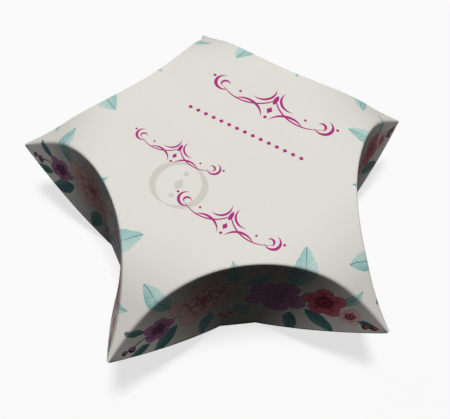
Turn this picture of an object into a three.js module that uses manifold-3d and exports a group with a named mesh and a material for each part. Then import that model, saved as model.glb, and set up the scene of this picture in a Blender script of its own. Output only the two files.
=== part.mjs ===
import * as THREE from 'three';
import { mergeVertices } from 'three/addons/utils/BufferGeometryUtils.js';
import Module from 'manifold-3d';

const wasm = await Module();
wasm.setup();

// Driving dimensions, in millimetres. The box stands on its base at z = 0.
const TIP_RADIUS = 52.5; // centre to each tip, about 100 across two tips
const TIP_HEIGHT = 17.7; // where the tips of the top and the base meet
const BOX_HEIGHT = 32.5;
const WALL_SAG = 12.9; // how far the top's edge bows in from the line between two tips
const FOOT_SAG = 11.9; // how far a wall's foot stands in from that line
const FOOT_WIDTH = 11; // the short straight crease under each wall
const TIP_STRAIGHT = 14; // flat end of each arm of the top, after its curl
const TIP_BLUNT = 1; // cut off each point, so that the card does not split there
const FOLD_RADIUS = 1.5; // outside of the straight folds in the base
const CARD = 0.45;
const CREASE_GAP = 0.3; // left between two panels along a fold
const LOWER_GAP = 0.5; // under the closing wall, which swings out over the base
const TAB_DEPTH = 8;
const TAB_MARGIN = 0.5; // a tab is this much narrower than the foot at each end
const TAB_CORNER = 2;
const TUCK_LIFT = 1.4; // lets the tuck flap swing out over the base's edge
const GLUE_FILM = 0.12;
const GLUE_GAP = 0.12; // on each face of the film
const GLUE_BORDER = 1.5; // film kept back from the tab's edges

// What follows from them.
const SIDES = 5;
const STEP = (2 * Math.PI) / SIDES;
const HALF = STEP / 2;
const FAR = 3 * TIP_RADIUS; // past every piece, for cutters
const HALF_CHORD = TIP_RADIUS * Math.sin(HALF);
const APOTHEM = TIP_RADIUS * Math.cos(HALF);
const NOTCH = APOTHEM - WALL_SAG; // centre to the middle of the top's edge
const FOOT = APOTHEM - FOOT_SAG; // centre to a wall's foot
const EDGE_RADIUS = (HALF_CHORD ** 2 + WALL_SAG ** 2) / (2 * WALL_SAG);
const EDGE_AXIS = NOTCH + EDGE_RADIUS; // the top's edge is an arc about this far point
const EDGE_ARC = Math.asin(HALF_CHORD / EDGE_RADIUS);
const TIP_ALLOWANCE = CARD + CREASE_GAP / 2; // from the meeting height to a panel's outer face

// An arm seen from its side: flat from the centre, round a bend, then straight to the tip.
// It is described as on the base, with z upwards from the outer face.
function armThroughTip(start, end, rise) {
  const run = TIP_RADIUS - start;
  const tangent = (run ** 2 + rise ** 2 - end ** 2) / (2 * (run + end));
  const bend = Math.atan2(rise, run - tangent);
  return { start, bend, radius: tangent / Math.tan(bend / 2) };
}

function armWithFold(fold, radius, rise) {
  const bend = Math.atan2(rise, TIP_RADIUS - fold);
  return { start: fold - radius * Math.tan(bend / 2), bend, radius };
}

const TOP_DROP = BOX_HEIGHT - TIP_HEIGHT - TIP_ALLOWANCE;
const TOP_ARM = armThroughTip(NOTCH * Math.cos(HALF), TIP_STRAIGHT, TOP_DROP);
const BASE_FOLD = FOOT * Math.cos(HALF) + (FOOT_WIDTH / 2) * Math.sin(HALF);
const BASE_ARM = armWithFold(BASE_FOLD, FOLD_RADIUS, TIP_HEIGHT - TIP_ALLOWANCE);

const EDGE_STEPS = 28; // facets along the top's curved edge
const BEND_STEPS = 5; // half the facets round an arm's bend

// Sides run anticlockwise from the one that opens, at +Y.
const FIXED_SIDES = [
  { name: 'left_rear', side: 1, glued: true },
  { name: 'left_front', side: 2, glued: true },
  { name: 'right_front', side: 3, glued: false }, // the base folds on from this one
  { name: 'right_rear', side: 4, glued: true },
];

function card(colour, roughness) {
  return new THREE.MeshStandardMaterial({ color: colour, roughness, metalness: 0 });
}

const PRINTED = card('#e3e0d8', 0.75);
const PLAIN = card('#dedbd2', 0.85);
const GLUE = card('#d9d2bd', 0.4);

function solid(geometry) {
  const bare = geometry.clone();
  for (const name of Object.keys(bare.attributes)) {
    if (name !== 'position') bare.deleteAttribute(name);
  }
  const merged = mergeVertices(bare, 1e-5);
  return new wasm.Manifold(new wasm.Mesh({
    numProp: 3,
    vertProperties: merged.attributes.position.array,
    triVerts: new Uint32Array(merged.index.array),
  }));
}

function mesh(name, made, material) {
  const data = made.getMesh();
  const geometry = new THREE.BufferGeometry();
  geometry.setAttribute('position', new THREE.BufferAttribute(data.vertProperties, data.numProp));
  geometry.setIndex(new THREE.BufferAttribute(data.triVerts, 1));
  const named = new THREE.Mesh(geometry, material);
  named.name = name;
  return named;
}

// A plan outline drawn up from one height to another.
function prism(shape, low = -10, high = BOX_HEIGHT + 10, curveSegments = EDGE_STEPS / 2) {
  const options = { depth: high - low, bevelEnabled: false, curveSegments };
  return solid(new THREE.ExtrudeGeometry(shape, options).translate(0, 0, low));
}

function turned(made, side) {
  return made.rotate([0, 0, side * 360 / SIDES]);
}

function upended(made) {
  return made.mirror([0, 0, 1]).translate([0, 0, BOX_HEIGHT]);
}

// All that lies under an arm, raised by a distance square to its outer face.
// The arm points along +Y turned by an angle, and its profile runs on past the tip.
function underArm(arm, raise, angle) {
  const radius = arm.radius - raise;
  const past = TIP_RADIUS;
  const endX = arm.start + radius * Math.sin(arm.bend) + past * Math.cos(arm.bend);
  const endY = arm.radius - radius * Math.cos(arm.bend) + past * Math.sin(arm.bend);
  const profile = new THREE.Shape();
  profile.moveTo(-FAR, -20);
  profile.lineTo(-FAR, raise);
  profile.lineTo(arm.start, raise);
  profile.absarc(arm.start, arm.radius, radius, -Math.PI / 2, arm.bend - Math.PI / 2, false);
  profile.lineTo(endX, endY);
  profile.lineTo(endX, -20);
  const options = { depth: 2 * FAR, bevelEnabled: false, curveSegments: BEND_STEPS };
  const geometry = new THREE.ExtrudeGeometry(profile, options).translate(0, 0, -FAR);
  const along = new THREE.Vector3(0, 1, 0);
  const up = new THREE.Vector3(0, 0, 1);
  const across = new THREE.Vector3(1, 0, 0);
  geometry.applyMatrix4(new THREE.Matrix4().makeBasis(along, up, across));
  return solid(geometry.rotateZ(angle));
}

// The same for all five arms, or for the two that meet at the side at +Y.
function underStar(arm, raise) {
  const arms = [0, 1, 2, 3, 4].map((side) => underArm(arm, raise, side * STEP + HALF));
  return arms.reduce((sum, each) => sum.add(each));
}

function underSide(arm, raise) {
  return underArm(arm, raise, HALF).add(underArm(arm, raise, -HALF));
}

function starShell(outline, arm) {
  return outline.intersect(underStar(arm, CARD)).subtract(underStar(arm, 0));
}

// The two corners where a point is cut off, on the tip that lies clockwise of a side.
function bluntTip(side) {
  const angle = side * STEP + Math.PI / 2 - HALF;
  const reach = TIP_RADIUS - TIP_BLUNT;
  const across = Math.tan(HALF) * TIP_BLUNT;
  return [-1, 1].map((sign) => new THREE.Vector2(
    reach * Math.cos(angle) - sign * across * Math.sin(angle),
    reach * Math.sin(angle) + sign * across * Math.cos(angle),
  ));
}

// The top's outline: a pentagon with its edges scooped out by arcs.
// The edge at +Y is set in, because the closing wall stands outside it.
function curvedStar(setIn) {
  const sides = Array.from({ length: SIDES }, (_, side) => side);
  const body = prism(new THREE.Shape(sides.flatMap((side) => bluntTip(side))));
  const scoop = (radius) => {
    const shape = new THREE.Shape();
    const reach = 1.2 * EDGE_ARC;
    shape.absarc(0, EDGE_AXIS, radius, -Math.PI / 2 - reach, -Math.PI / 2 + reach, false);
    return prism(shape);
  };
  const edge = scoop(EDGE_RADIUS);
  return sides.slice(1).reduce(
    (left, side) => left.subtract(turned(edge, side)),
    body.subtract(scoop(EDGE_RADIUS + setIn)),
  );
}

// The base's outline: straight edges from each foot to the tips.
function straightStar() {
  const centre = new THREE.Vector2();
  const points = [];
  for (let side = 0; side < SIDES; side += 1) {
    const foot = [FOOT_WIDTH / 2, -FOOT_WIDTH / 2].map(
      (x) => new THREE.Vector2(x, FOOT).rotateAround(centre, side * STEP),
    );
    points.push(...bluntTip(side), ...foot);
  }
  return prism(new THREE.Shape(points));
}

// A point on the crease between the top and the wall at +Y, from -1 at one tip to 1 at the other.
function creasePoint(t) {
  const x = EDGE_RADIUS * Math.sin(t * EDGE_ARC);
  const y = EDGE_AXIS - EDGE_RADIUS * Math.cos(t * EDGE_ARC);
  const along = Math.abs(x) * Math.sin(HALF) + y * Math.cos(HALF) - TOP_ARM.start;
  const straight = TOP_ARM.radius * Math.sin(TOP_ARM.bend);
  const round = Math.min(Math.max(along, 0), straight);
  const drop = TOP_ARM.radius - Math.sqrt(TOP_ARM.radius ** 2 - round ** 2);
  const rest = Math.max(along - straight, 0) * Math.tan(TOP_ARM.bend);
  return new THREE.Vector3(x, y, BOX_HEIGHT - drop - rest);
}

// The card of the wall at +Y: two fans of straight lines from the ends of its foot to the crease.
function wallSheet() {
  const columns = [];
  for (const sign of [-1, 1]) {
    const foot = new THREE.Vector3(sign * FOOT_WIDTH / 2, FOOT, 0);
    for (let i = 0; i <= EDGE_STEPS / 2; i += 1) {
      const t = (sign < 0 ? i - EDGE_STEPS / 2 : i) / (EDGE_STEPS / 2);
      const crease = creasePoint(t);
      const ahead = creasePoint(Math.min(t + 0.01, 1)).sub(creasePoint(Math.max(t - 0.01, -1)));
      const inward = ahead.cross(crease.clone().sub(foot)).normalize();
      if (inward.y > 0) inward.negate();
      columns.push({ outer: [foot, crease], inward });
    }
  }
  const rows = columns.flatMap(({ outer, inward }) => [
    ...outer,
    ...outer.map((point) => point.clone().addScaledVector(inward, CARD)),
  ]);
  const index = [];
  const quad = (a, b, c, d) => index.push(a, b, c, a, c, d);
  for (let i = 0; i + 1 < columns.length; i += 1) {
    const a = 4 * i;
    const b = a + 4;
    quad(a, a + 1, b + 1, b);
    quad(a + 2, b + 2, b + 3, a + 3);
    quad(a + 1, a + 3, b + 3, b + 1);
    quad(a, b, b + 2, a + 2);
  }
  const last = 4 * (columns.length - 1);
  quad(0, 2, 3, 1);
  quad(last, last + 1, last + 3, last + 2);
  const geometry = new THREE.BufferGeometry().setFromPoints(rows);
  geometry.setIndex(index);
  const merged = mergeVertices(geometry, 1e-5);
  const kept = [];
  const old = merged.index.array;
  for (let i = 0; i < old.length; i += 3) {
    const corners = [old[i], old[i + 1], old[i + 2]];
    if (new Set(corners).size === 3) kept.push(...corners);
  }
  merged.setIndex(kept);
  return solid(merged);
}

// The slice of the plan that belongs to the side at +Y, clear of its neighbours' slices.
function sideSlice() {
  const apex = CREASE_GAP / 2 / Math.sin(HALF);
  const reach = TIP_RADIUS - TIP_BLUNT - CREASE_GAP;
  const far = new THREE.Vector2(reach * Math.sin(HALF), apex + reach * Math.cos(HALF));
  return prism(new THREE.Shape([new THREE.Vector2(0, apex), far, new THREE.Vector2(-far.x, far.y)]));
}

function lensWall(topRaise, baseRaise) {
  const sheet = wallSheet().intersect(sideSlice()).subtract(underSide(BASE_ARM, baseRaise));
  return topRaise > 0 ? sheet.subtract(upended(underSide(TOP_ARM, topRaise))) : sheet;
}

// A flat tab on the foot at +Y, or a film inside its outline, with its far corners rounded.
function footTab(low, thickness, border) {
  const half = FOOT_WIDTH / 2 - TAB_MARGIN - border;
  const near = FOOT - CARD - CREASE_GAP - border;
  const far = near - TAB_DEPTH + 2 * border;
  const shape = new THREE.Shape();
  shape.moveTo(half, near);
  shape.lineTo(-half, near);
  shape.lineTo(-half, far + TAB_CORNER);
  shape.absarc(-half + TAB_CORNER, far + TAB_CORNER, TAB_CORNER, Math.PI, 1.5 * Math.PI, false);
  shape.lineTo(half - TAB_CORNER, far);
  shape.absarc(half - TAB_CORNER, far + TAB_CORNER, TAB_CORNER, 1.5 * Math.PI, 2 * Math.PI, false);
  return prism(shape, low, low + thickness, 3);
}

const part = new THREE.Group();
part.name = 'star_favour_box';

part.add(mesh('top_panel', upended(starShell(curvedStar(CARD + CREASE_GAP), TOP_ARM)), PRINTED));
part.add(mesh('bottom_panel', starShell(straightStar(), BASE_ARM), PRINTED));

const wall = lensWall(CARD + CREASE_GAP, CARD + CREASE_GAP);
const filmLow = CARD + GLUE_GAP;
const film = footTab(filmLow, GLUE_FILM, GLUE_BORDER);
const glueTab = footTab(filmLow + GLUE_FILM + GLUE_GAP, CARD, 0);

for (const { name, side, glued } of FIXED_SIDES) {
  const group = new THREE.Group();
  group.name = `${name}_side`;
  group.rotation.z = side * STEP;
  group.add(mesh(`${name}_wall`, wall, PRINTED));
  if (glued) {
    group.add(mesh(`${name}_glue_tab`, glueTab, PLAIN));
    group.add(mesh(`${name}_glue`, film, GLUE));
  }
  part.add(group);
}

part.add(mesh('closing_wall', lensWall(0, CARD + LOWER_GAP), PRINTED));
part.add(mesh('tuck_flap', footTab(CARD + TUCK_LIFT, CARD, 0), PLAIN));

export default part;
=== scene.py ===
"""Dresses the star favour box, a printed card carton folded along curved creases.

Sizes in the classes are millimetres, as on the maker's blank.
Each mesh is scaled to metres as it is made.
"""

from __future__ import annotations

import logging
import math
from dataclasses import dataclass, field
from enum import Enum, IntEnum
from functools import partial, reduce
from typing import Sequence

import bmesh
import bpy
import numpy as np
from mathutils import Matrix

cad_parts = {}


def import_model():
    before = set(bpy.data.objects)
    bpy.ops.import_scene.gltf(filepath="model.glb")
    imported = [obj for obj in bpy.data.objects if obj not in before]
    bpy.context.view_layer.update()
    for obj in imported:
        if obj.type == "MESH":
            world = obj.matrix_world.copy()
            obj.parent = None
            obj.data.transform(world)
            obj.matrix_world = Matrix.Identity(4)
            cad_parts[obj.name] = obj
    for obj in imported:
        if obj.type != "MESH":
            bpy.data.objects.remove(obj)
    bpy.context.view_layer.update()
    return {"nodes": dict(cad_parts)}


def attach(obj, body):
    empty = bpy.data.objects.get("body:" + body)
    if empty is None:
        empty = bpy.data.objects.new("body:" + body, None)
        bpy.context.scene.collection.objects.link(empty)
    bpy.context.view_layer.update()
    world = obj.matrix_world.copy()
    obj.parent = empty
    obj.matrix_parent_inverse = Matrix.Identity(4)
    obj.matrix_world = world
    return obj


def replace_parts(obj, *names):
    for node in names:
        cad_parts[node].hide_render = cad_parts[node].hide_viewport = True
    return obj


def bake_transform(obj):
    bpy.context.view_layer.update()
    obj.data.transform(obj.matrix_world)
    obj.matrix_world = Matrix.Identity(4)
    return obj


LOG = logging.getLogger("star_favour_box")

MM = 0.001
SIDES = 5
HALF = math.pi / SIDES  # half of a side's angle at the middle
SIN, COS = math.sin(HALF), math.cos(HALF)
QUARTER = math.pi / 2
SHARP = math.radians(38)  # faces that meet at more than this keep a sharp edge
JOIN = 2e-6  # metres within which points become one
SEAM = 4e-6  # metres within which the arms of a star are joined
SLIVER = 1e-7  # metres under which an edge is dropped
UNFOLDED = "unfolded"  # map: millimetres along a side and out from the box's middle, on the flat blank
FACE_KIND = "card_face"
WEAR = "crease_wear"

Colour = tuple[float, float, float, float]
Finishes = Sequence[bpy.types.Material]  # of the printed face, the inside and the cut edge

WHITE: Colour = (1.0, 1.0, 1.0, 1.0)


class Face(IntEnum):
    """The faces of a piece of card, which are also its material slots."""

    PRINTED = 0
    INSIDE = 1
    EDGE = 2


class Curl(Enum):
    """Which way the arms of a star panel turn."""

    DOWN = 1
    UP = -1


def srgb(red: int, green: int, blue: int) -> Colour:
    """A colour given in screen values of 0 to 255, as shaders take it."""
    return (*(linear(channel / 255) for channel in (red, green, blue)), 1.0)


def linear(channel: float) -> float:
    """One screen channel of 0 to 1 made linear."""
    return channel / 12.92 if channel <= 0.04045 else ((channel + 0.055) / 1.055) ** 2.4


def to_arm(x: np.ndarray, y: np.ndarray) -> tuple[np.ndarray, np.ndarray]:
    """Places along a side and out from the middle, as places along an arm and off its middle line."""
    return x * SIN + y * COS, y * SIN - x * COS


def to_side(along: np.ndarray, off: np.ndarray) -> tuple[np.ndarray, np.ndarray]:
    """Places along an arm and off its middle line, as places along a side and out from the middle."""
    return along * SIN - off * COS, along * COS + off * SIN


def arch(share: np.ndarray) -> np.ndarray:
    """A bow that is 0 at shares of 0 and 1, and 1 half way."""
    return 4 * share * (1 - share)


def square_to(line: np.ndarray) -> np.ndarray:
    """Unit vectors square to a flat line at each of its points."""
    ahead = np.gradient(line, axis=0)
    return np.stack([-ahead[:, 1], ahead[:, 0]], 1) / np.linalg.norm(ahead, axis=1, keepdims=True)


class Value:
    """A number that flows through a node tree, with arithmetic that adds Math nodes."""

    def __init__(self, graph: Graph, socket: bpy.types.NodeSocket) -> None:
        """Wraps an output socket of a graph."""
        self.graph = graph
        self.socket = socket

    def __add__(self, other: Value | float) -> Value:
        """self + other."""
        return self.graph.math("ADD", self, other)

    def __radd__(self, other: float) -> Value:
        """other + self."""
        return self.graph.math("ADD", other, self)

    def __sub__(self, other: Value | float) -> Value:
        """self - other."""
        return self.graph.math("SUBTRACT", self, other)

    def __rsub__(self, other: float) -> Value:
        """other - self."""
        return self.graph.math("SUBTRACT", other, self)

    def __mul__(self, other: Value | float) -> Value:
        """self * other."""
        return self.graph.math("MULTIPLY", self, other)

    def __rmul__(self, other: float) -> Value:
        """other * self."""
        return self.graph.math("MULTIPLY", other, self)

    def __truediv__(self, other: Value | float) -> Value:
        """self / other."""
        return self.graph.math("DIVIDE", self, other)

    def __rtruediv__(self, other: float) -> Value:
        """other / self."""
        return self.graph.math("DIVIDE", other, self)

    def __pow__(self, power: float) -> Value:
        """self to a fixed power."""
        return self.graph.math("POWER", self, power)

    def __abs__(self) -> Value:
        """The size of self."""
        return self.graph.math("ABSOLUTE", self)


class Graph:
    """A node tree that is written as expressions."""

    def __init__(self, tree: bpy.types.NodeTree) -> None:
        """Starts on a tree with its nodes cleared."""
        self.tree = tree
        tree.nodes.clear()

    def node(
        self,
        kind: str,
        settings: dict[str, object] | None = None,
        sockets: dict[str | int, object] | None = None,
    ) -> bpy.types.Node:
        """Adds a node.

        Args:
            kind: The node's type.
            settings: Properties of the node, which are set first.
            sockets: Values or links for its inputs, by name or place.

        Returns:
            The new node.
        """
        made = self.tree.nodes.new(kind)
        for name, value in (settings or {}).items():
            setattr(made, name, value)
        for key, value in (sockets or {}).items():
            if isinstance(value, Value):
                self.tree.links.new(value.socket, made.inputs[key])
            else:
                made.inputs[key].default_value = value
        return made

    def value(self, node: bpy.types.Node, output: str | int = 0) -> Value:
        """Wraps one output of a node."""
        return Value(self, node.outputs[output])

    def out(self, kind: str, settings: dict | None = None, sockets: dict | None = None) -> Value:
        """Adds a node and wraps its first output."""
        return self.value(self.node(kind, settings, sockets))

    def math(self, operation: str, *terms: Value | float) -> Value:
        """Adds a Math node."""
        return self.out("ShaderNodeMath", {"operation": operation}, dict(enumerate(terms)))

    def vector(self, operation: str, *terms: Value | tuple[float, float, float]) -> bpy.types.Node:
        """Adds a Vector Math node."""
        return self.node("ShaderNodeVectorMath", {"operation": operation}, dict(enumerate(terms)))

    def clamped(self, value: Value, gain: float = 1.0, lift: float = 0.0) -> Value:
        """value * gain + lift, kept between 0 and 1 by a node of its own.

        A Math node that clamps is compiled after all the motifs, and a large print then needs too much
        room at once.

        Args:
            value: What is clamped.
            gain: What it is multiplied by.
            lift: What is added to that.

        Returns:
            The clamped value.
        """
        return self.out("ShaderNodeClamp", None, {0: self.math("MULTIPLY_ADD", value, gain, lift)})

    def wave(self, angle: Value) -> Value:
        """The size of the sine of an angle, a row of even lobes."""
        return abs(self.math("SINE", angle))

    def least(self, *terms: Value | float) -> Value:
        """The smallest of several values."""
        return reduce(partial(self.math, "MINIMUM"), terms)

    def most(self, *terms: Value | float) -> Value:
        """The largest of several values."""
        return reduce(partial(self.math, "MAXIMUM"), terms)

    def distance(self, x: Value, y: Value) -> Value:
        """How far a place is from the point that its two distances count from."""
        return self.math("SQRT", x * x + y * y)

    def split(self, vector: Value) -> tuple[Value, Value, Value]:
        """The three parts of a vector."""
        parts = self.node("ShaderNodeSeparateXYZ", None, {0: vector})
        return self.value(parts, "X"), self.value(parts, "Y"), self.value(parts, "Z")

    def place(self) -> Value:
        """Object coordinates, in metres."""
        return self.value(self.node("ShaderNodeTexCoord"), "Object")

    def noise(self, place: Value, scale: float, detail: float) -> Value:
        """An even noise over a surface."""
        return self.out("ShaderNodeTexNoise", None, {"Vector": place, "Scale": scale, "Detail": detail})

    def mix(self, factor: Value | float, under: Value | Colour, over: Value | Colour) -> Value:
        """Lays the second colour over the first, as much of it as the factor says."""
        sockets = {0: factor, 6: under, 7: over}
        return self.value(self.node("ShaderNodeMix", {"data_type": "RGBA"}, sockets), 2)

    def either(self, factor: Value, first: Value, second: Value) -> Value:
        """Mixes two shaders, all of the second at a factor of 1."""
        return self.out("ShaderNodeMixShader", None, {0: factor, 1: first, 2: second})

    def surface(self, shader: Value, owner: str = "Material") -> None:
        """Ends the tree of a material or the world."""
        self.node(f"ShaderNodeOutput{owner}", None, {"Surface": shader})


def new_finish(name: str) -> tuple[bpy.types.Material, Graph]:
    """Starts a material.

    Args:
        name: The material's name.

    Returns:
        The material and its empty graph.
    """
    made = bpy.data.materials.new(name)
    made.use_nodes = True
    return made, Graph(made.node_tree)


@dataclass(frozen=True)
class Arm:
    """One arm from the side: flat from the middle, round a bend, then straight to the tip."""

    start: float
    bend: float
    radius: float

    @classmethod
    def through_tip(cls, start: float, end: float, run: float, rise: float) -> Arm:
        """An arm that curls from its start and ends straight at its tip.

        Args:
            start: Where the curl begins.
            end: Length of the straight end.
            run: Plan distance from the start to the tip.
            rise: Height between the start and the tip.

        Returns:
            The arm.
        """
        tangent = (run**2 + rise**2 - end**2) / (2 * (run + end))
        bend = math.atan2(rise, run - tangent)
        return cls(start, bend, tangent / math.tan(bend / 2))

    @classmethod
    def with_fold(cls, fold: float, radius: float, run: float, rise: float) -> Arm:
        """An arm that is folded along one line.

        Args:
            fold: Where the fold's two planes would meet.
            radius: Outside radius of the fold.
            run: Plan distance from the fold to the tip.
            rise: Height between the fold and the tip.

        Returns:
            The arm.
        """
        bend = math.atan2(rise, run)
        return cls(fold - radius * math.tan(bend / 2), bend, radius)

    def unroll(self, along: np.ndarray) -> np.ndarray:
        """Plan distances from the middle as distances on the flat blank.

        Args:
            along: Plan distances.

        Returns:
            Flat distances.
        """
        past = along - self.start
        angle = np.arcsin(np.clip(past / self.radius, 0, math.sin(self.bend)))
        rest = np.maximum(past - self.radius * math.sin(self.bend), 0) / math.cos(self.bend)
        return np.minimum(along, self.start) + self.radius * angle + rest

    def fold(self, flat: np.ndarray) -> tuple[np.ndarray, np.ndarray]:
        """Distances on the flat blank as places on the folded arm.

        Args:
            flat: Flat distances from the middle.

        Returns:
            Plan distances, and how far each lies off the flat middle.
        """
        angle = np.clip((flat - self.start) / self.radius, 0, self.bend)
        rest = np.maximum(flat - self.start - self.radius * self.bend, 0)
        along = np.minimum(flat, self.start) + self.radius * np.sin(angle) + rest * math.cos(self.bend)
        return along, self.radius * (1 - np.cos(angle)) + rest * math.sin(self.bend)


@dataclass(frozen=True)
class Carton:
    """Sizes of the folded carton and the lines that follow from them."""

    tip_radius: float = 52.2
    tip_height: float = 17.7
    height: float = 32.5
    wall_sag: float = 12.65
    foot_sag: float = 11.65
    foot_width: float = 9.0
    tip_straight: float = 14.0
    tip_blunt: float = 0.7
    tip_half_width: float = 0.28
    tip_gather: int = 6  # power by which the half width comes in towards the tip
    tip_least: float = 0.35  # share of the half width that the top always keeps inside its crease
    edge_bow: float = 0.8  # of the cut lower edges, between foot and tip
    fold_radius: float = 1.5
    card: float = 0.45
    tip_allowance: float = 0.6
    crease_roll: float = 0.55
    roll_gain: float = 0.5  # share by which the roll grows towards the tips
    roll_pinch: float = 0.8  # share of it that is lost again at the tips
    pinch_gather: int = 10
    columns: int = 60
    foot_points: int = 5
    edge_points: int = 41

    @property
    def half_chord(self) -> float:
        """Half the distance between two tips."""
        return self.tip_radius * SIN

    @property
    def apothem(self) -> float:
        """From the middle to the line between two tips."""
        return self.tip_radius * COS

    @property
    def notch(self) -> float:
        """From the middle to the nearest point of the top's edge."""
        return self.apothem - self.wall_sag

    @property
    def foot(self) -> float:
        """From the middle to a wall's foot."""
        return self.apothem - self.foot_sag

    @property
    def corner(self) -> float:
        """Along an arm, from the middle to the line between the corners of its two feet."""
        return to_arm(self.foot_width / 2, self.foot)[0]

    @property
    def edge_radius(self) -> float:
        """Radius of the top's curved edge in plan."""
        return (self.half_chord**2 + self.wall_sag**2) / (2 * self.wall_sag)

    @property
    def top_arm(self) -> Arm:
        """The curled arm of the top.

        Returns:
            The arm.
        """
        start = self.notch * COS
        drop = self.height - self.tip_height - self.tip_allowance
        return Arm.through_tip(start, self.tip_straight, self.tip_radius - start, drop)

    @property
    def base_arm(self) -> Arm:
        """The folded arm of the base."""
        rise = self.tip_height - self.tip_allowance
        return Arm.with_fold(self.corner, self.fold_radius, self.tip_radius - self.corner, rise)

    @property
    def bow_way(self) -> np.ndarray:
        """The way in which a lower edge bows, in the plane of its base arm.

        Returns:
            A unit vector, for the half of the side at +Y with x above 0.
        """
        slope = self.base_arm.bend
        up = np.array([-math.sin(slope) * SIN, -math.sin(slope) * COS, math.cos(slope)])
        edge = np.array([self.half_chord - self.foot_width / 2, self.foot_sag, self.tip_height])
        return np.cross(up, edge / np.linalg.norm(edge))

    def steps(self) -> np.ndarray:
        """Places along a side, from -1 at one tip to 1 at the other."""
        return np.linspace(-1, 1, 2 * self.columns + 1)

    def crease_flat(self, t: np.ndarray) -> np.ndarray:
        """The curved crease on the flat blank.

        Args:
            t: Places along the side.

        Returns:
            Points along the side and out from the middle.
        """
        angle = np.abs(t) * math.asin(self.half_chord / self.edge_radius)
        x = self.edge_radius * np.sin(angle)
        y = self.notch + self.edge_radius * (1 - np.cos(angle))
        along, off = to_arm(x, y)
        x, y = to_side(self.top_arm.unroll(along), off + self.tip_half_width * np.abs(t) ** self.tip_gather)
        return np.stack([np.sign(t) * x, y], 1)

    def roll(self, t: np.ndarray) -> np.ndarray:
        """How far the crease's rounding reaches from it, softer towards the tips and pinched at them."""
        pinched = 1 - self.roll_pinch * np.abs(t) ** self.pinch_gather
        return self.crease_roll * (1 + self.roll_gain * t**2) * pinched

    def rim_flat(self, t: np.ndarray) -> np.ndarray:
        """Where the top panel ends and the rounding of the crease begins, on the flat blank.

        Args:
            t: Places along the side.

        Returns:
            Points along the side and out from the middle.
        """
        crease = self.crease_flat(t)
        rim = crease - square_to(crease) * self.roll(t)[:, None]
        _, off = to_arm(np.abs(rim[:, 0]), rim[:, 1])
        short = np.maximum(self.tip_least * self.tip_half_width - off, 0)
        return rim + np.stack([np.where(t < 0, COS, -COS) * short, SIN * short], 1)

    def on_top(self, flat: np.ndarray) -> np.ndarray:
        """Points of the flat blank as they lie on the folded top, beside the side at +Y.

        Args:
            flat: Points along the side and out from the middle.

        Returns:
            Points in the box's frame.
        """
        along, off = to_arm(np.abs(flat[:, 0]), flat[:, 1])
        reach, drop = self.top_arm.fold(along)
        x, y = to_side(reach, off)
        return np.stack([np.sign(flat[:, 0]) * x, y, self.height - drop], 1)

    def top_edge(self) -> np.ndarray:
        """Half an arm of the top on the flat blank, from its notch to its tip."""
        rim = self.rim_flat(self.steps())[self.columns:]
        return np.stack(to_arm(rim[:, 0], rim[:, 1]), 1)

    def base_edge(self) -> np.ndarray:
        """Half an arm of the base on the flat blank, along its foot and then to its tip.

        Returns:
            Distances along the arm, and half its width there.
        """
        foot = np.linspace(0, self.foot_width / 2, self.foot_points)
        feet = np.stack([foot, np.full_like(foot, self.foot)], 1)
        tip = np.array(to_side(self.tip_radius - self.tip_blunt, math.tan(HALF) * self.tip_blunt))
        share = np.linspace(0, 1, self.edge_points)[1:, None]
        line = np.concatenate([feet, feet[-1] + share * (tip - feet[-1])])
        plan, half_width = to_arm(line[:, 0], line[:, 1])
        edge = np.stack([self.base_arm.unroll(plan), half_width], 1)
        run = edge[-1] - edge[len(feet)]
        way = np.array([-run[1], run[0]]) / np.linalg.norm(run)
        edge[len(feet):] += self.edge_bow * arch(share) * way
        return edge


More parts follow.
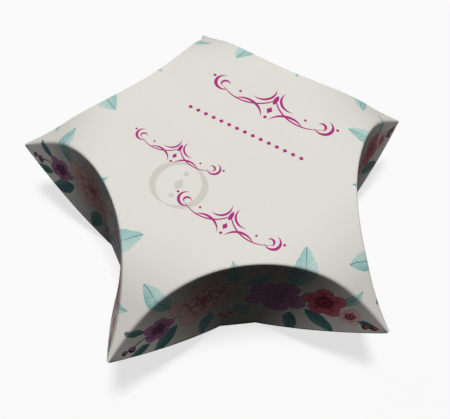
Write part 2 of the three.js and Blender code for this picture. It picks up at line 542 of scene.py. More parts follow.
@dataclass
class Sheet:
    """A piece of card as it is drawn up: points, faces, and what each face and point carries."""

    points: list[np.ndarray] = field(default_factory=list)
    unfolded: list[np.ndarray] = field(default_factory=list)
    wear: list[np.ndarray] = field(default_factory=list)
    faces: list[list[int]] = field(default_factory=list)
    kinds: list[int] = field(default_factory=list)

    def layer(
        self, points: np.ndarray, unfolded: np.ndarray, wear: np.ndarray, columns: int, kind: Face
    ) -> np.ndarray:
        """Adds one face of the card, whose points run row by row.

        Args:
            points: Their places in millimetres.
            unfolded: Where they lie on the flat blank.
            wear: How worn each is, from 0 to 1.
            columns: Number of points in a row.
            kind: Which face of the card this is.

        Returns:
            The points' numbers, by row and column.
        """
        first = sum(len(block) for block in self.points)
        self.points.append(points)
        self.unfolded.append(unfolded)
        self.wear.append(wear)
        cells = first + np.arange(len(points)).reshape(-1, columns)
        for upper, lower in zip(cells, cells[1:]):
            self.strip(upper, lower, kind)
        return cells

    def strip(self, outer: np.ndarray, inner: np.ndarray, kind: Face = Face.EDGE) -> None:
        """Joins two lines of points with a strip of quads.

        Args:
            outer: Numbers of the points along one line.
            inner: Numbers of the points that face them.
            kind: Which face of the card the strip is.
        """
        quads = np.stack([outer[:-1], outer[1:], inner[1:], inner[:-1]], 1).tolist()
        self.faces += quads
        self.kinds += [int(kind)] * len(quads)

    def mesh(self, name: str, turn: float = 0.0, finishes: Finishes = ()) -> bpy.types.Mesh:
        """Makes the mesh, with its map and attributes.

        Args:
            name: The mesh's name.
            turn: Angle about Z that puts it in its place.
            finishes: The card's materials, where a node tree doesn't set them.

        Returns:
            The mesh, in metres.
        """
        points = np.concatenate(self.points) * MM
        cos, sin = math.cos(turn), math.sin(turn)
        spin = np.array([[cos, -sin, 0], [sin, cos, 0], [0, 0, 1]])
        made = bpy.data.meshes.new(name)
        made.from_pydata((points @ spin.T).tolist(), [], self.faces)
        made.attributes.new(FACE_KIND, "INT", "FACE").data.foreach_set("value", self.kinds)
        wear = np.concatenate(self.wear).astype(np.float32)
        made.attributes.new(WEAR, "FLOAT", "POINT").data.foreach_set("value", wear)
        flat = np.concatenate(self.unfolded)[np.array(self.faces).ravel()]
        made.uv_layers.new(name=UNFOLDED).uv.foreach_set("vector", flat.astype(np.float32).ravel())
        for finish in finishes:
            made.materials.append(finish)
        if finishes:
            made.polygons.foreach_set("material_index", self.kinds)
        return made


def placed(name: str, data: bpy.types.ID) -> bpy.types.Object:
    """Puts a mesh, a lamp or a camera in the scene.

    Args:
        name: The object's name.
        data: What it shows.

    Returns:
        The object, at the origin.
    """
    data.name = name
    made = bpy.data.objects.new(name, data)
    bpy.context.scene.collection.objects.link(made)
    return made


def plain_piece(source: bpy.types.Object) -> bpy.types.Object:
    """Turns an object with a Geometry Nodes modifier into one with a plain mesh.

    Args:
        source: The object, which is removed.

    Returns:
        The new object, at the origin.
    """
    name = source.name
    graph = bpy.context.evaluated_depsgraph_get()
    mesh = bpy.data.meshes.new_from_object(source.evaluated_get(graph), depsgraph=graph)
    if mesh.materials[0] is None:
        mesh.materials.pop(index=0)
    old = source.data
    bpy.data.objects.remove(source)
    bpy.data.meshes.remove(old)
    return placed(name, mesh)


def smoothed(mesh: bpy.types.Mesh) -> None:
    """Joins points that fall together and shades the card smooth, with its cut edges sharp.

    A closed mesh has its faces turned outwards.

    Args:
        mesh: The mesh, which is changed.
    """
    work = bmesh.new()
    work.from_mesh(mesh)
    bmesh.ops.remove_doubles(work, verts=work.verts, dist=JOIN)
    bmesh.ops.dissolve_degenerate(work, edges=work.edges, dist=SLIVER)
    border = [edge.is_boundary for edge in work.edges]
    if not any(border):
        bmesh.ops.recalc_face_normals(work, faces=work.faces)
    work.to_mesh(mesh)
    work.free()
    mesh.shade_smooth()
    mesh.set_sharp_from_angle(angle=SHARP)
    for edge, cut in zip(mesh.edges, border):
        edge.use_edge_sharp = edge.use_edge_sharp or cut


class StarFold:
    """Geometry Nodes that fold one flat arm by its profile and repeat it round the star."""

    sizes = ("Start", "Bend", "Radius", "Curl", "Height", "First turn")

    def __init__(self, finishes: Finishes) -> None:
        """Builds the tree.

        Args:
            finishes: The card's materials.
        """
        self.tree = bpy.data.node_groups.new("star_fold", "GeometryNodeTree")
        self.graph = Graph(self.tree)
        self.sockets: dict[str, str] = {}
        self._socket("NodeSocketGeometry", "Flat arm")
        for name in self.sizes:
            self._socket("NodeSocketFloat", name)
        self._socket("NodeSocketInt", "Arms")
        self._socket("NodeSocketGeometry", "Star", "OUTPUT")
        self._build(finishes)

    def _socket(self, kind: str, name: str, way: str = "INPUT") -> None:
        """Adds a named socket to the tree and keeps its identifier."""
        self.sockets[name] = self.tree.interface.new_socket(name, in_out=way, socket_type=kind).identifier

    def _build(self, finishes: Finishes) -> None:
        """Writes the nodes.

        Args:
            finishes: The card's materials.
        """
        g = self.graph
        entry = g.node("NodeGroupInput")
        start, bend, radius, curl, height, turn = (g.value(entry, name) for name in self.sizes)
        across, flat, thick = g.split(g.out("GeometryNodeInputPosition"))
        angle = g.least(g.most((flat - start) / radius, 0.0), bend)
        rest = g.most(flat - start - radius * bend, 0.0)
        bent = radius + curl * thick
        along = g.least(flat, start) + bent * g.math("SINE", angle) + rest * g.math("COSINE", bend)
        level = bent * g.math("COSINE", angle) - radius - rest * g.math("SINE", bend)
        spot = g.out("ShaderNodeCombineXYZ", None, {0: across, 1: along, 2: height + curl * level})
        arm = {"Geometry": g.value(entry, "Flat arm"), "Position": spot}
        folded = g.out("GeometryNodeSetPosition", None, arm)
        count = g.value(entry, "Arms")
        facing = g.out("GeometryNodeInputIndex") * (2 * math.pi / count) + turn
        ring = {
            "Points": g.out("GeometryNodePoints", None, {"Count": count}),
            "Instance": folded,
            "Rotation": g.out("ShaderNodeCombineXYZ", None, {2: facing}),
        }
        arms = g.out("GeometryNodeInstanceOnPoints", None, ring)
        whole = g.out("GeometryNodeRealizeInstances", None, {0: arms})
        star = g.out("GeometryNodeMergeByDistance", None, {"Geometry": whole, "Distance": SEAM})
        kind = g.out("GeometryNodeInputNamedAttribute", {"data_type": "INT"}, {"Name": FACE_KIND})
        equal = {"data_type": "INT", "operation": "EQUAL"}
        for face, finish in zip(Face, finishes):
            same = g.out("FunctionNodeCompare", equal, {2: kind, 3: int(face)})
            dress = {"Geometry": star, "Selection": same, "Material": finish}
            star = g.out("GeometryNodeSetMaterial", None, dress)
        g.node("NodeGroupOutput", None, {"Star": star})

    def apply(self, piece: bpy.types.Object, sizes: dict[str, float]) -> bpy.types.Object:
        """Folds a flat arm into a whole star.

        Args:
            piece: An object with the flat arm's mesh.
            sizes: Values for the tree's named inputs.

        Returns:
            The star as a plain object.
        """
        modifier = piece.modifiers.new("star_fold", "NODES")
        modifier.node_group = self.tree
        for name, size in sizes.items():
            modifier[self.sockets[name]] = size
        return plain_piece(piece)


@dataclass
class StarPanel:
    """The top or the base: a flat pentagon with five arms, folded from one flat star."""

    carton: Carton
    name: str
    node: str
    curl: Curl
    arm: Arm
    edge: np.ndarray  # outline of half an arm on the flat blank: distance along it and half width
    columns: int = 14
    middle_rows: int = 10
    crowding: float = 1.5  # power by which the columns crowd towards the edge
    wear_reach: float = 1.2

    def flat_arm(self) -> Sheet:
        """Draws one arm and its share of the middle, flat, with the arm along +Y.

        Returns:
            The flat sheet.
        """
        sheet = Sheet()
        across = 1 - (1 - np.linspace(0, 1, self.columns)) ** self.crowding
        middle = np.linspace(0, 1, self.middle_rows, endpoint=False)[:, None] * self.edge[:1]
        rows = np.concatenate([middle, self.edge])
        y = np.repeat(rows[:, 0], self.columns)
        off = (rows[:, 1:] * across).ravel()
        inset = (rows[:, 1:] * (1 - across)).ravel()
        wear = np.clip(1 - inset / self.wear_reach, 0, 1) * (y >= rows[self.middle_rows, 0])
        along, out = to_side(y, off)
        depth = np.full_like(y, -self.curl.value * self.carton.card)
        levels = {Face.PRINTED: np.zeros_like(y), Face.INSIDE: depth}
        for side in (-1, 1):
            unfolded = np.stack([-side * along, out], 1)
            outer, inner = (
                sheet.layer(np.stack([side * off, y, level], 1), unfolded, wear, self.columns, kind)
                for kind, level in levels.items()
            )
            sheet.strip(outer[self.middle_rows:, -1], inner[self.middle_rows:, -1])
            sheet.strip(outer[-1], inner[-1])
        return sheet

    def build(self, fold: StarFold, height: float) -> bpy.types.Object:
        """Makes the panel and puts it on the box.

        Args:
            fold: The tree that folds and repeats the arm.
            height: Height of the panel's outer face.

        Returns:
            The finished piece.
        """
        flat = placed(self.name, self.flat_arm().mesh(self.name))
        sizes = {
            "Start": self.arm.start * MM,
            "Bend": self.arm.bend,
            "Radius": self.arm.radius * MM,
            "Curl": float(self.curl.value),
            "Height": height * MM,
            "First turn": HALF,
            "Arms": SIDES,
        }
        piece = fold.apply(flat, sizes)
        smoothed(piece.data)
        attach(piece, "box")
        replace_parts(piece, self.node)
        return piece


@dataclass
class CurvedWall:
    """One wall: the rounding of its crease, then straight lines down to its foot.

    An end of a line is five numbers, its place in the box's frame and its place on the flat blank.
    """

    carton: Carton
    name: str
    node: str
    side: int
    foot_lift: float = 0.57
    foot_gather: float = 1.5  # power by which the lines that end on the foot draw in to its middle
    climb_gather: float = 1.3  # power by which those past it crowd towards its corner
    roll_limit: float = 0.4  # most of a line's length that the rounding takes
    wear: float = 0.6  # just below the rounding, and gone a millimetre further down
    swing_lean: float = 60.0  # degrees from straight down of the way along which an opened wall bends
    swing_early: float = 3.0  # how far before the crease the bend starts
    swing_reach: float = 18.0
    roll_rows: int = 8
    rows: int = 22

    def lower_edge(self, crease: np.ndarray) -> np.ndarray:
        """Where the straight lines across the wall end: along its foot, then up its cut edges to the tips.

        A line that starts past the foot stays square to its arm.

        Args:
            crease: Where the lines start.

        Returns:
            Where they end.
        """
        box = self.carton
        half = box.foot_width / 2
        along, _ = to_arm(np.abs(crease[:, 0]), crease[:, 1])
        short = np.clip((box.corner - along) / (box.corner - along.min()), 0, 1)[:, None] ** self.foot_gather
        climb = np.clip((along - box.corner) / (along.max() - box.corner), 0, 1)[:, None] ** self.climb_gather
        tall = crease[len(crease) // 2, 2] - self.foot_lift
        foot = np.array([half, box.foot, self.foot_lift, half, box.notch + tall])
        tip = crease[-1].copy()
        tip[2] = box.tip_height - box.tip_allowance + self.foot_lift / math.cos(box.base_arm.bend)
        low = foot + climb * (tip - foot)
        low[:, :3] += box.edge_bow * arch(climb) * box.bow_way
        sideways = [0, 3]
        low[:, sideways] = (low[:, sideways] - short * half) * np.sign(crease[:, :1])
        return low

    def lines(self) -> tuple[np.ndarray, np.ndarray, np.ndarray]:
        """Draws the outer face, row by row from the top panel to the foot.

        Returns:
            Points, their places on the flat blank, and their wear.
        """
        box = self.carton
        t = box.steps()
        crease, rim = (np.hstack([box.on_top(flat), flat]) for flat in (box.crease_flat(t), box.rim_flat(t)))
        low = self.lower_edge(crease)
        length = np.linalg.norm((low - crease)[:, :3], axis=1)
        turn = crease + np.minimum(box.roll(t) / length, self.roll_limit)[:, None] * (low - crease)
        rows, wears = [], []
        for k in np.linspace(0, 1, self.roll_rows):
            rows.append((1 - k) ** 2 * rim + 2 * k * (1 - k) * crease + k**2 * turn)
            wears.append(np.full(len(t), 1 - abs(2 * k - 1) ** 2))
        for k in np.linspace(0, 1, self.rows)[1:]:
            rows.append(turn + k * (low - turn))
            wears.append(np.clip(self.wear * (1 - k * length), 0, 1))
        drawn = np.concatenate(rows)
        return drawn[:, :3], drawn[:, 3:], np.concatenate(wears)

    def build(self, finishes: Finishes) -> bpy.types.Object:
        """Makes the wall's card in its place.

        Args:
            finishes: The card's materials.

        Returns:
            The piece, not yet on a body.
        """
        sheet = Sheet()
        sheet.layer(*self.lines(), len(self.carton.steps()), Face.PRINTED)
        mesh = sheet.mesh(self.name, self.side * 2 * HALF, finishes)
        smoothed(mesh)
        piece = placed(self.name, mesh)
        card = piece.modifiers.new("card", "SOLIDIFY")
        card.thickness = self.carton.card * MM
        card.offset = -1.0
        card.use_quality_normals = True
        card.material_offset = int(Face.INSIDE)
        card.material_offset_rim = int(Face.EDGE)
        return piece

    def fix(self, piece: bpy.types.Object) -> bpy.types.Object:
        """Sets a fixed wall on the box in its node's place."""
        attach(piece, "box")
        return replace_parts(piece, self.node)

    def swing(self, piece: bpy.types.Object) -> bpy.types.Object:
        """Bakes the closing wall in its place and hides its node; the line along which it would bend out from
        its crease is worked out but not used.

        Args:
            piece: The wall.

        Returns:
            The piece.
        """
        lean = math.radians(self.swing_lean)
        way = np.array([0.0, -math.sin(lean), -math.cos(lean)])
        start = np.array([0.0, self.carton.notch, self.carton.height]) - self.swing_early * way
        end = start + self.swing_reach * way
        tuple(start * MM)
        tuple(end * MM)
        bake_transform(piece)
        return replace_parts(piece, self.node)


@dataclass
class FootTab:
    """A tab on a wall's foot: a flat tongue with rounded corners, and the turn-up of its crease."""

    carton: Carton
    name: str
    node: str
    body: str
    side: int
    low: float
    turn_up: float = 0.8
    depth: float = 8.0
    margin: float = 0.5
    corner: float = 2.0
    gap: float = 0.3
    bend: float = 0.6
    columns: int = 13
    bend_points: int = 6
    flat_points: int = 8
    corner_points: int = 9

    def outline(self) -> tuple[np.ndarray, np.ndarray]:
        """Draws the tab from the side, from its wall to its far edge.

        Returns:
            Places out from the middle and up, and how far each half of the tab draws in there.
        """
        near = self.carton.foot - self.carton.card - self.gap
        far = near - self.depth
        start = near - self.bend if self.turn_up else near
        line = []
        if self.turn_up:
            line.append((near, self.low + self.bend + self.turn_up))
            for angle in np.linspace(0, QUARTER, self.bend_points)[:-1]:
                up = self.bend * (1 - math.sin(angle))
                line.append((start + self.bend * math.cos(angle), self.low + up))
        line += [(y, self.low) for y in np.linspace(start, far + self.corner, self.flat_points)]
        rounds = np.linspace(0, QUARTER, self.corner_points)[1:]
        line += [(far + self.corner * (1 - math.sin(angle)), self.low) for angle in rounds]
        narrow = np.zeros(len(line))
        narrow[-len(rounds):] = self.corner * (1 - np.cos(rounds))
        return np.array(line), narrow

    def build(self, finishes: Finishes) -> bpy.types.Object:
        """Makes the tab and puts it on its body.

        Args:
            finishes: The card's materials.

        Returns:
            The finished piece.
        """
        line, narrow = self.outline()
        half = self.carton.foot_width / 2 - self.margin - narrow
        x = (half[:, None] * np.linspace(-1, 1, self.columns)).ravel()
        bare = np.zeros(len(x))
        sheet = Sheet()
        cells = []
        for kind, shift in ((Face.PRINTED, 0.0), (Face.INSIDE, self.carton.card)):
            y, z = np.repeat(line - shift * square_to(line), self.columns, axis=0).T
            points, unfolded = np.stack([x, y, z], 1), np.stack([x, y], 1)
            cells.append(sheet.layer(points, unfolded, bare, self.columns, kind))
        outer, inner = cells
        for cut in (np.s_[:, 0], np.s_[:, -1], np.s_[0], np.s_[-1]):
            sheet.strip(outer[cut], inner[cut])
        mesh = sheet.mesh(self.name, self.side * 2 * HALF, finishes)
        smoothed(mesh)
        piece = placed(self.name, mesh)
        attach(piece, self.body)
        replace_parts(piece, self.node)
        return piece


@dataclass(frozen=True)
class Inks:
    """Colours of one kind of motif, from its pale parts to its lines."""

    pale: Colour
    middle: Colour
    deep: Colour


TEAL = Inks(srgb(188, 213, 207), srgb(130, 184, 180), srgb(48, 122, 126))
DARK_TEAL = Inks(srgb(98, 138, 138), srgb(54, 96, 102), srgb(16, 44, 52))
ROSE = Inks(srgb(244, 214, 206), srgb(206, 120, 126), srgb(124, 16, 44))
PLUM = Inks(srgb(178, 130, 162), srgb(110, 50, 96), srgb(52, 8, 42))
WINE = Inks(srgb(206, 112, 122), srgb(140, 28, 56), srgb(76, 6, 30))
MAGENTA = srgb(172, 48, 126)
PALE_GREY = srgb(206, 204, 193)


class CardPrint:
    """A print being drawn on card, in millimetres, over the colour of the card."""

    blur = 0.09  # width of a motif's soft edge
    cloud = {"Scale": 0.32, "Detail": 2.0}  # of the wash in the inks

    def __init__(self, graph: Graph, vector: Value, sway: float = 0.0) -> None:
        """Starts a print on a map of the card.

        Args:
            graph: The material's graph.
            vector: Where each point lies on the print, in millimetres.
            sway: How far the hand that drew it wanders, in millimetres.
        """
        self.graph = graph
        noise = graph.node("ShaderNodeTexNoise", None, {"Vector": vector, **self.cloud})
        wander = graph.vector("SUBTRACT", graph.value(noise, "Color"), (0.5, 0.5, 0.5))
        drawn = graph.vector("MULTIPLY_ADD", graph.value(wander), (sway, sway, sway), vector)
        self.vector = graph.value(drawn)
        self.wash = graph.clamped(graph.value(noise), 3.2, -1.1)
        self.x, self.y, _ = graph.split(self.vector)

    def local(self, x: float, y: float, turn: float, wide: float, high: float) -> tuple[Value, Value]:
        """The print's place measured from a motif.

        Args:
            x: The motif's place along the side.
            y: The motif's place out from the crease.
            turn: Its turn, in degrees.
            wide: Its unit along itself.
            high: Its unit across itself.

        Returns:
            The two distances, in the motif's units.
        """
        sockets = {
            "Vector": self.vector,
            "Location": (x, y, 0.0),
            "Rotation": (0.0, 0.0, math.radians(turn)),
            "Scale": (wide, high, 1.0),
        }
        return self.graph.split(self.graph.out("ShaderNodeMapping", {"vector_type": "TEXTURE"}, sockets))[:2]

    def stamp(self, inside: Value, unit: float, under: Value, colour: Value | Colour) -> Value:
        """Lays a colour with a soft edge where inside, counted in a unit in millimetres, is above 0."""
        return self.graph.mix(self.graph.clamped(inside, unit / self.blur, 0.5), under, colour)


@dataclass(frozen=True)
class Leaf:
    """A pointed leaf with a midrib and side veins, from its stalk to its tip."""

    x: float
    y: float
    angle: float
    length: float
    width: float
    inks: Inks = TEAL
    vein_pitch: float = 1.25
    rib: float = 0.16
    rim: float = 0.22

    def lay(self, art: CardPrint, under: Value) -> Value:
        """Prints the leaf.

        Args:
            art: The print being drawn.
            under: The colour beneath.

        Returns:
            The colour with the leaf on it.
        """
        g = art.graph
        half = self.width / 2
        along, across = art.local(self.x, self.y, self.angle, self.length, half)
        swell = g.clamped(along * (1 - along), 4.0) ** 0.8 * (1.2 - 0.4 * along)
        side = abs(across)
        veins = g.wave((along * 1.15 - side * 0.22) * (math.pi * self.length / self.vein_pitch))
        vein = g.clamped(veins, -5.0, 1.0) * 0.55
        rib = g.clamped(side * half, -1 / self.rib, 1.0)
        tone = g.mix(g.clamped(across, 0.8, 0.45), self.inks.pale, self.inks.middle)
        tone = g.mix(g.clamped(along, -0.8, 0.5), tone, self.inks.deep)
        tone = g.mix(art.wash * 0.5, tone, self.inks.pale)
        tone = g.mix(g.most(vein, rib), tone, self.inks.deep)
        rim = g.clamped((swell - side) * half, -1 / self.rim, 0.85)
        tone = g.mix(rim * 0.6, tone, self.inks.deep)
        return art.stamp(swell - side - 0.05, half, under, tone)


@dataclass(frozen=True)
class Blossom:
    """An open flower of rings of even petals round a dotted middle."""

    x: float
    y: float
    radius: float
    turn: float
    inks: Inks
    petals: int = 5
    whorls: int = 3
    rim: float = 0.42

    def lay(self, art: CardPrint, under: Value) -> Value:
        """Prints the flower.

        Args:
            art: The print being drawn.
            under: The colour beneath.

        Returns:
            The colour with the flower on it.
        """
        g = art.graph
        x, y = art.local(self.x, self.y, self.turn, self.radius, self.radius)
        out = g.distance(x, y)
        angle = g.math("ARCTAN2", y, x)
        mixed = under
        for whorl in range(self.whorls):
            size = 1 - 0.27 * whorl
            phase = QUARTER if whorl % 2 else 0.0
            mixed = self._whorl(art, mixed, out, angle, size, phase)
        dots = g.wave(angle * 6) * g.clamped(abs(out - 0.17), -16.0, 1.0)
        mixed = art.stamp(0.13 - out, self.radius, mixed, self.inks.deep)
        return g.mix(g.clamped(dots, 3.0, -1.0), mixed, self.inks.pale)

    def _whorl(
        self, art: CardPrint, under: Value, out: Value, angle: Value, size: float, phase: float
    ) -> Value:
        """Prints one ring of petals, shaded from its deep throat to its pale rims.

        Args:
            art: The print being drawn.
            under: The colour beneath.
            out: Distance from the flower's middle, in its radius.
            angle: Direction from the middle.
            size: The ring's size, in the flower's radius.
            phase: Turn that sets its petals between those of the ring below.

        Returns:
            The colour with the ring on it.
        """
        g = art.graph
        lobe = g.wave(angle * (self.petals / 2) + phase)
        streaks = g.wave(angle * (self.petals * 3.5))
        edge = size * (0.64 + 0.36 * lobe**0.55) - out
        streak = g.clamped(streaks, -3.0, 1.0) * g.clamped(out, -1.5 / size, 1.5) * 0.7
        tone = g.mix(g.clamped(out, 1.9 / size, -0.75), self.inks.middle, self.inks.pale)
        tone = g.mix(streak, tone, self.inks.middle)
        tone = g.mix(art.wash * 0.6, tone, self.inks.pale)
        tone = g.mix(g.clamped(out, -2.6 / size, 1.85), tone, self.inks.deep)
        tone = g.mix(g.clamped(lobe * out, -6.0 / size, 1.0), tone, self.inks.deep)
        tone = g.mix(g.clamped(edge * self.radius, -1 / self.rim, 0.9) * 0.6, tone, self.inks.deep)
        return art.stamp(edge, self.radius, under, tone)


@dataclass(frozen=True)
class Berry:
    """A round berry with a light spot."""

    x: float
    y: float
    radius: float
    inks: Inks

    def lay(self, art: CardPrint, under: Value) -> Value:
        """Prints the berry.

        Args:
            art: The print being drawn.
            under: The colour beneath.

        Returns:
            The colour with the berry on it.
        """
        g = art.graph
        x, y = art.local(self.x, self.y, 0.0, self.radius, self.radius)
        out = g.distance(x, y)
        tone = g.mix(g.clamped(x + y, 0.6, 0.5), self.inks.pale, self.inks.deep)
        tone = g.mix(g.clamped(out, 1.6, -0.7), tone, self.inks.deep)
        return art.stamp(1 - out, self.radius, under, tone)


@dataclass(frozen=True)
class Stem:
    """A thin stalk along a bowed line, between two places across the side."""

    start: float
    end: float
    height: float
    slope: float
    bow: float
    inks: Inks
    width: float = 0.28

    def lay(self, art: CardPrint, under: Value) -> Value:
        """Prints the stalk.

        Args:
            art: The print being drawn.
            under: The colour beneath.

        Returns:
            The colour with the stalk on it.
        """
        x = art.x - (self.start + self.end) / 2
        off = abs(art.y - (x * x * self.bow + x * self.slope + self.height))
        reach = (self.end - self.start) / 2 - abs(x)
        inside = art.graph.least(self.width / 2 - off * 0.9, reach)
        return art.stamp(inside, 1.0, under, self.inks.deep)


@dataclass(frozen=True)
class Crescent:
    """A stroke that swells in its middle: what one circle covers and another leaves."""

    x: float
    y: float
    radius: float
    other_x: float
    other_y: float
    other_radius: float

    def reach(self, g: Graph, x: Value, y: Value) -> Value:
        """How far inside the stroke a place on the ornament is, above 0 inside."""
        within = self.radius - g.distance(x - self.x, y - self.y)
        return g.least(within, g.distance(x - self.other_x, y - self.other_y) - self.other_radius)


@dataclass(frozen=True)
class Flourish:
    """A mirrored ornament of swelling strokes about a small diamond."""

    x: float
    y: float
    scale: float
    colour: Colour
    strokes: tuple[Crescent, ...]
    dots: tuple[tuple[float, float, float], ...]
    diamond: float

    def lay(self, art: CardPrint, under: Value) -> Value:
        """Prints the ornament.

        Args:
            art: The print being drawn.
            under: The colour beneath.

        Returns:
            The colour with the ornament on it.
        """
        g = art.graph
        across, y = art.local(self.x, self.y, 0.0, self.scale, self.scale)
        x = abs(across)
        strokes = [stroke.reach(g, x, y) for stroke in self.strokes]
        dots = [size - g.distance(x - dot_x, y - dot_y) for dot_x, dot_y, size in self.dots]
        inside = g.most(self.diamond - x * 1.5 - abs(y), *strokes, *dots)
        return art.stamp(inside, self.scale, under, self.colour)


@dataclass(frozen=True)
class DotRule:
    """A short ruled row of small diamonds."""

    x: float
    y: float
    half: float
    pitch: float
    size: float
    colour: Colour

    def lay(self, art: CardPrint, under: Value) -> Value:
        """Prints the row.

        Args:
            art: The print being drawn.
            under: The colour beneath.

        Returns:
            The colour with the row on it.
        """
        g = art.graph
        x, y = art.local(self.x, self.y, 0.0, 1.0, 1.0)
        beat = abs(g.math("PINGPONG", x, self.pitch / 2))
        inside = g.least(self.size - beat - abs(y), self.half - abs(x))
        return art.stamp(inside, 1.0, under, self.colour)


Motif = Leaf | Blossom | Berry | Stem | Flourish | DotRule

# Motifs lie along a side and out from the middle of its crease, the first of them undermost.
CROSSING = (
    Leaf(-10.5, 9.5, -100, 13.0, 6.0),
    Leaf(2.0, 7.5, -80, 8.8, 3.8),
    Leaf(17.5, 10.0, -62, 10.5, 4.6),
    Leaf(-21.5, 12.5, -126, 7.0, 2.9),
)
UNDERGROWTH = (
    Stem(-30.0, 30.0, 13.4, 0.0, 0.0038, DARK_TEAL),
    Stem(1.5, 5.5, 22.5, 0.9, 0.05, DARK_TEAL),
    Leaf(16.5, 17.5, 40, 9.5, 4.2, DARK_TEAL),
    Leaf(8.0, 20.5, 75, 8.6, 4.0, DARK_TEAL),
    Leaf(1.5, 19.5, 118, 8.2, 3.6, DARK_TEAL),
    Leaf(-11.5, 21.0, 98, 7.8, 3.5, DARK_TEAL),
    Leaf(-14.5, 18.0, 150, 9.2, 3.8, DARK_TEAL),
    Leaf(0.5, 9.8, -150, 7.5, 3.1, DARK_TEAL),
    Leaf(23.5, 18.0, 16, 6.6, 2.6, DARK_TEAL),
    Leaf(24.0, 13.4, -34, 5.6, 2.2, DARK_TEAL),
    Leaf(-26.0, 15.8, 174, 5.2, 2.1, DARK_TEAL),
)
FLOWERS = (
    Blossom(9.5, 13.0, 8.4, 18, ROSE),
    Blossom(-7.2, 15.4, 7.2, -10, PLUM),
    Blossom(-18.0, 13.2, 5.0, 30, WINE, whorls=2),
    Blossom(20.8, 15.2, 3.8, 0, PLUM, whorls=2),
    Blossom(-24.4, 15.2, 2.7, 12, ROSE, whorls=2),
    Berry(-28.2, 16.9, 0.9, WINE),
    Berry(-30.0, 16.4, 0.7, WINE),
    Berry(27.6, 16.6, 0.9, PLUM),
    Berry(29.4, 16.4, 0.7, PLUM),
    Berry(2.6, 24.2, 1.0, WINE),
    Berry(4.8, 25.0, 0.85, WINE),
    Berry(3.4, 26.3, 0.8, WINE),
)
# The top's ornament lies on the box's own X and Y.
ARM_SWASH = Crescent(8.6, 9.2, 10.2, 8.9, 10.0, 10.55)
END_CURL = Crescent(15.2, 2.3, 2.7, 14.6, 2.65, 2.45)
END_HOOK = Crescent(14.6, 2.2, 1.35, 14.2, 1.75, 1.2)
UNDER_SWASH = Crescent(6.2, -4.3, 5.2, 6.6, -6.0, 6.15)
SPRIG = Crescent(4.4, 5.6, 3.6, 5.3, 6.4, 4.05)
PETAL = Crescent(-2.5, 4.0, 3.15, 0.0, 0.7, 1.7)
RING = Crescent(0.7, 0.0, 5.9, -0.7, 0.0, 5.7)
SCROLL = (ARM_SWASH, END_CURL, END_HOOK, UNDER_SWASH, SPRIG, PETAL)
SCROLL_DOTS = ((18.6, 3.4, 0.45), (0.0, -2.7, 0.5), (9.8, 1.9, 0.4))
RING_DOTS = ((0.0, 3.2, 0.6), (0.0, -3.2, 0.6))
ORNAMENT = (
    Flourish(-5.2, -14.6, 1.0, PALE_GREY, (RING,), RING_DOTS, 1.7),
    Flourish(2.5, 15.0, 0.9, MAGENTA, SCROLL, SCROLL_DOTS, 1.3),
    DotRule(0.5, 6.0, 15.2, 2.1, 0.62, MAGENTA),
    Flourish(-10.0, -8.4, 0.62, MAGENTA, SCROLL, SCROLL_DOTS, 1.3),
    Flourish(8.6, -18.6, 0.7, MAGENTA, SCROLL, SCROLL_DOTS, 1.3),
)


@dataclass(frozen=True)
class CardFinish:
    """Coated or bare card, with its fibre, and a print on it where it has one."""

    name: str
    colour: Colour
    roughness: float
    fibre: float  # depth of the fibre's bump
    mottle: float  # share by which its clouds are darker
    origin: float = 0.0  # where the print's map counts from, out from the middle
    garland: tuple[Motif, ...] = ()
    ornament: tuple[Motif, ...] = ()
    sway: float = 1.1  # how far the hand that drew the garland wanders
    gloss: float = 0.03
    cloud_scale: float = 90.0  # noises to the metre
    fibre_scale: float = 420.0
    grain_scale: float = 1400.0

    def material(self) -> bpy.types.Material:
        """Makes the finish's material.

        Returns:
            The material.
        """
        made, g = new_finish(self.name)
        place = g.place()
        cloud = g.noise(place, self.cloud_scale, 3.0)
        grain = g.noise(place, self.grain_scale, 2.0)
        darker = (*(channel * (1 - self.mottle) for channel in self.colour[:3]), 1.0)
        tone = g.mix(g.clamped(cloud * 0.6 + grain * 0.4, 2.2, -0.6), self.colour, darker)
        worn = g.value(g.node("ShaderNodeAttribute", {"attribute_name": WEAR}), "Fac")
        if self.garland:
            unfolded = g.out("ShaderNodeUVMap", {"uv_map": UNFOLDED})
            shifted = g.value(g.vector("SUBTRACT", unfolded, (0.0, self.origin, 0.0)))
            bare = tone
            tone = self._printed(CardPrint(g, shifted, self.sway), self.garland, tone)
            tone = g.mix(worn * g.clamped(grain, 3.0, -1.2) * 0.5, tone, bare)
        if self.ornament:
            wide = g.value(g.vector("MULTIPLY", place, (1 / MM, 1 / MM, 1 / MM)))
            tone = self._printed(CardPrint(g, wide), self.ornament, tone)
        relief = grain * 0.7 + g.noise(place, self.fibre_scale, 2.0)
        bump = {"Strength": 1.0, "Distance": self.fibre * MM, "Height": relief}
        sockets = {
            "Base Color": tone,
            "Roughness": g.clamped(grain, 0.16, self.roughness - 0.08) + worn * 0.06,
            "Specular IOR Level": self.gloss,
            "Normal": g.out("ShaderNodeBump", None, bump),
        }
        g.surface(g.out("ShaderNodeBsdfPrincipled", None, sockets))
        return made

    @staticmethod
    def _printed(art: CardPrint, motifs: Sequence[Motif], tone: Value) -> Value:
        """Lays motifs over a colour in order.

        Args:
            art: The print.
            motifs: What to lay.
            tone: The colour beneath.

        Returns:
            The printed colour.
        """
        for motif in motifs:
            tone = motif.lay(art, tone)
        return tone


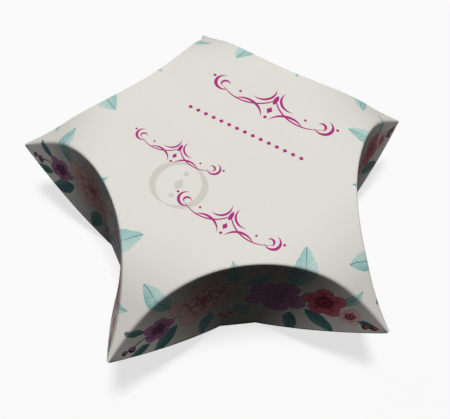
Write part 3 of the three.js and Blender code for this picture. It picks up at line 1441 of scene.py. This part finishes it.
@dataclass(frozen=True)
class DriedGlue:
    """The film of glue under a tab, dried unevenly."""

    name: str = "dried_glue"
    colour: Colour = srgb(222, 212, 184)
    thin: Colour = srgb(198, 186, 152)
    blots: float = 700.0  # to the metre
    relief: float = 0.02

    def material(self) -> bpy.types.Material:
        """Makes the glue's material.

        Returns:
            The material.
        """
        made, g = new_finish(self.name)
        blot = g.noise(g.place(), self.blots, 3.0)
        bump = {"Strength": 0.6, "Distance": self.relief * MM, "Height": blot}
        sockets = {
            "Base Color": g.mix(g.clamped(blot, 3.0, -1.0), self.colour, self.thin),
            "Roughness": g.clamped(blot, 0.5, 0.1),
            "Normal": g.out("ShaderNodeBump", None, bump),
        }
        g.surface(g.out("ShaderNodeBsdfPrincipled", None, sockets))
        return made


@dataclass
class Studio:
    """The floor, the light and the camera."""

    camera_place: tuple[float, float, float] = (32.11, -76.42, 142.68)
    camera_turn: tuple[float, float, float] = (30.913, -3.673, 28.630)
    camera_near: float = 5.0
    lens: float = 47.69
    key_place: tuple[float, float, float] = (-50.0, 42.0, 900.0)
    key_size: float = 180.0
    key_power: float = 7.5
    ambient: float = 0.006
    floor_half: float = 2500.0
    floor_pale: Colour = (0.9, 0.9, 0.9, 1.0)
    floor_bounce: Colour = (0.008, 0.0076, 0.0068, 1.0)
    shadow_share: float = 0.28  # how much of the floor takes the box's shadow, as far as shadow_near
    shadow_near: float = 100.0
    shadow_far: float = 300.0

    def build(self) -> None:
        """Makes the stage."""
        bpy.context.scene.view_settings.view_transform = "Standard"
        self._floor()
        self._key()
        self._world()
        self._camera()

    @staticmethod
    def _seen(g: Graph) -> Value:
        """1 for rays that show the background rather than light the object."""
        path = g.node("ShaderNodeLightPath")
        return g.most(*(g.value(path, f"Is {ray} Ray") for ray in ("Camera", "Glossy", "Transmission")))

    def _floor(self) -> None:
        """A wide pale floor that is white to the camera apart from the shadow on it."""
        half = self.floor_half * MM
        mesh = bpy.data.meshes.new("floor")
        corners = [(-half, -half, 0), (half, -half, 0), (half, half, 0), (-half, half, 0)]
        mesh.from_pydata(corners, [], [(0, 1, 2, 3)])
        finish, g = new_finish("floor_white")
        glow = g.out("ShaderNodeEmission", None, {"Color": WHITE, "Strength": 1.0})
        pale = g.out("ShaderNodeBsdfDiffuse", None, {"Color": self.floor_pale})
        away = g.value(g.vector("LENGTH", g.place()), "Value")
        fade = self.shadow_far - self.shadow_near
        shade = g.clamped(away, -1 / (fade * MM), self.shadow_far / fade) * self.shadow_share
        dim = g.out("ShaderNodeBsdfDiffuse", None, {"Color": self.floor_bounce})
        g.surface(g.either(self._seen(g), dim, g.either(shade, glow, pale)))
        mesh.materials.append(finish)
        placed("floor", mesh)

    def _key(self) -> None:
        """One broad soft light, high above, a little behind and to the left."""
        lamp = bpy.data.lights.new("key", "AREA")
        lamp.size = self.key_size * MM
        lamp.energy = self.key_power
        made = placed("key", lamp)
        made.location = [c * MM for c in self.key_place]
        aim = -made.location
        made.rotation_euler = aim.to_track_quat("-Z", "Y").to_euler()

    def _world(self) -> None:
        """Soft light from all round, white where the camera sees past the floor."""
        world = bpy.data.worlds.new("room")
        world.use_nodes = True
        bpy.context.scene.world = world
        g = Graph(world.node_tree)
        room, shown = (
            g.out("ShaderNodeBackground", None, {"Color": WHITE, "Strength": strength})
            for strength in (self.ambient, 1.0)
        )
        g.surface(g.either(self._seen(g), room, shown), "World")

    def _camera(self) -> None:
        """The photograph's view."""
        data = bpy.data.cameras.new("camera")
        data.lens = self.lens
        data.clip_start = self.camera_near * MM
        made = placed("camera", data)
        made.location = [c * MM for c in self.camera_place]
        made.rotation_euler = [math.radians(a) for a in self.camera_turn]
        bpy.context.scene.camera = made


@dataclass
class FavourBox:
    """The whole box: panels, walls, tabs and glue, each but the closing wall on its body."""

    carton: Carton = field(default_factory=Carton)
    closing_lift: float = 0.95  # of the closing wall's foot
    glued_level: float = 0.81  # of a glued tab's underside
    tuck_level: float = 1.85  # of the tuck flap's underside

    def finishes(self) -> dict[str, bpy.types.Material]:
        """Makes the materials.

        Returns:
            The materials by name.
        """
        coated = {"colour": srgb(226, 223, 216), "roughness": 0.55, "fibre": 0.008, "mottle": 0.035}
        printed = {**coated, "origin": self.carton.notch}
        made = (
            CardFinish("printed_top", **printed, garland=CROSSING, ornament=ORNAMENT),
            CardFinish("printed_wall", **printed, garland=UNDERGROWTH + CROSSING + FLOWERS),
            CardFinish("coated_card", **coated),
            CardFinish("bare_card", srgb(214, 209, 197), 0.85, 0.02, 0.06),
            CardFinish("cut_edge", srgb(176, 170, 158), 0.95, 0.05, 0.3),
        )
        return {finish.name: finish.material() for finish in made}

    def build(self, nodes: dict[str, bpy.types.Object]) -> None:
        """Makes every piece.

        Args:
            nodes: The CAD nodes by name.
        """
        box = self.carton
        finish = self.finishes()
        back = [finish["bare_card"], finish["cut_edge"]]
        top = StarPanel(box, "top_card", "top_panel", Curl.DOWN, box.top_arm, box.top_edge())
        report(top.build(StarFold([finish["printed_top"], *back]), box.height))
        base = StarPanel(box, "base_card", "bottom_panel", Curl.UP, box.base_arm, box.base_edge())
        report(base.build(StarFold([finish["coated_card"], *back]), 0.0))
        printed = [finish["printed_wall"], *back]
        for side, name in enumerate(("left_rear", "left_front", "right_front", "right_rear"), 1):
            wall = CurvedWall(box, f"{name}_card", f"{name}_wall", side)
            report(wall.fix(wall.build(printed)))
        closing = CurvedWall(box, "closing_card", "closing_wall", 0, self.closing_lift)
        report(closing.swing(closing.build(printed)))
        bare = [finish["bare_card"], *back]
        glue = DriedGlue().material()
        for side, name in ((1, "left_rear"), (2, "left_front"), (4, "right_rear")):
            tab = FootTab(box, f"{name}_tab", f"{name}_glue_tab", "box", side, self.glued_level)
            report(tab.build(bare))
            for slot in nodes[f"{name}_glue"].material_slots:
                slot.material = glue
        flap = FootTab(box, "tuck_tongue", "tuck_flap", "tuck_flap", 0, self.tuck_level, turn_up=0.0)
        report(flap.build(bare))


def report(piece: bpy.types.Object) -> None:
    """Logs a finished piece."""
    LOG.info("%s: %d faces", piece.name, len(piece.data.polygons))


def main() -> None:
    """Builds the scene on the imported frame."""
    logging.basicConfig(level=logging.INFO, format="%(name)s: %(message)s")
    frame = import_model()
    FavourBox().build(frame["nodes"])
    Studio().build()


if __name__ == "__main__":
    main()
